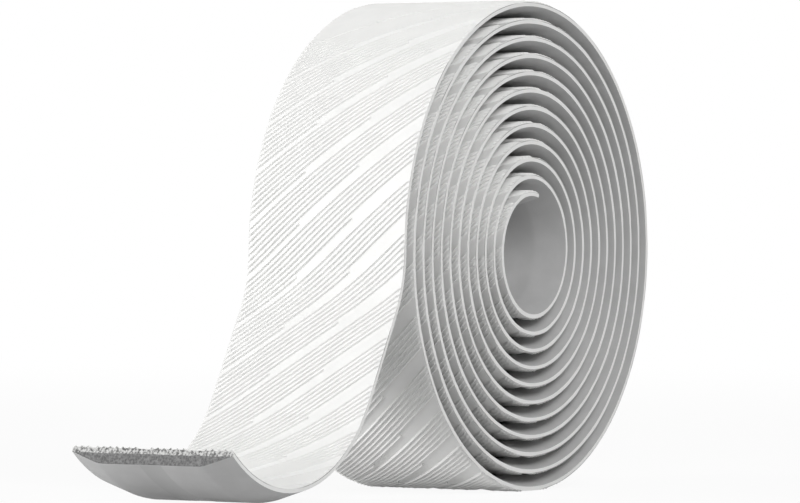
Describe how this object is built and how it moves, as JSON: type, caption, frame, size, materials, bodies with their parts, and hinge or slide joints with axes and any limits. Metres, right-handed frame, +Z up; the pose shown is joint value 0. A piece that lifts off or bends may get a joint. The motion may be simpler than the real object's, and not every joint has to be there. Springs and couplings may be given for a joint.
{
  "type": "handlebar tape roll",
  "caption": "Foam bicycle handlebar tape wound into a roll, with its outer end sprung away and lifting at the tip; diagonal ribs on its face, bevelled edges on its back.",
  "frame": {"origin": "on the floor, at the middle of the tape's width, in the small flat under the roll, straight below the roll's axis", "axes": "+X from the loose end toward the roll, +Y along the roll's axis, +Z up"},
  "size_m": [0.1378, 0.03, 0.0834],
  "materials": {
    "tape": "matte white polyurethane skin on closed-cell foam, with a satin sheen"
  },
  "bodies": {
    "root": {"handlebar_tape": "tape"}
  },
  "joints": []
}
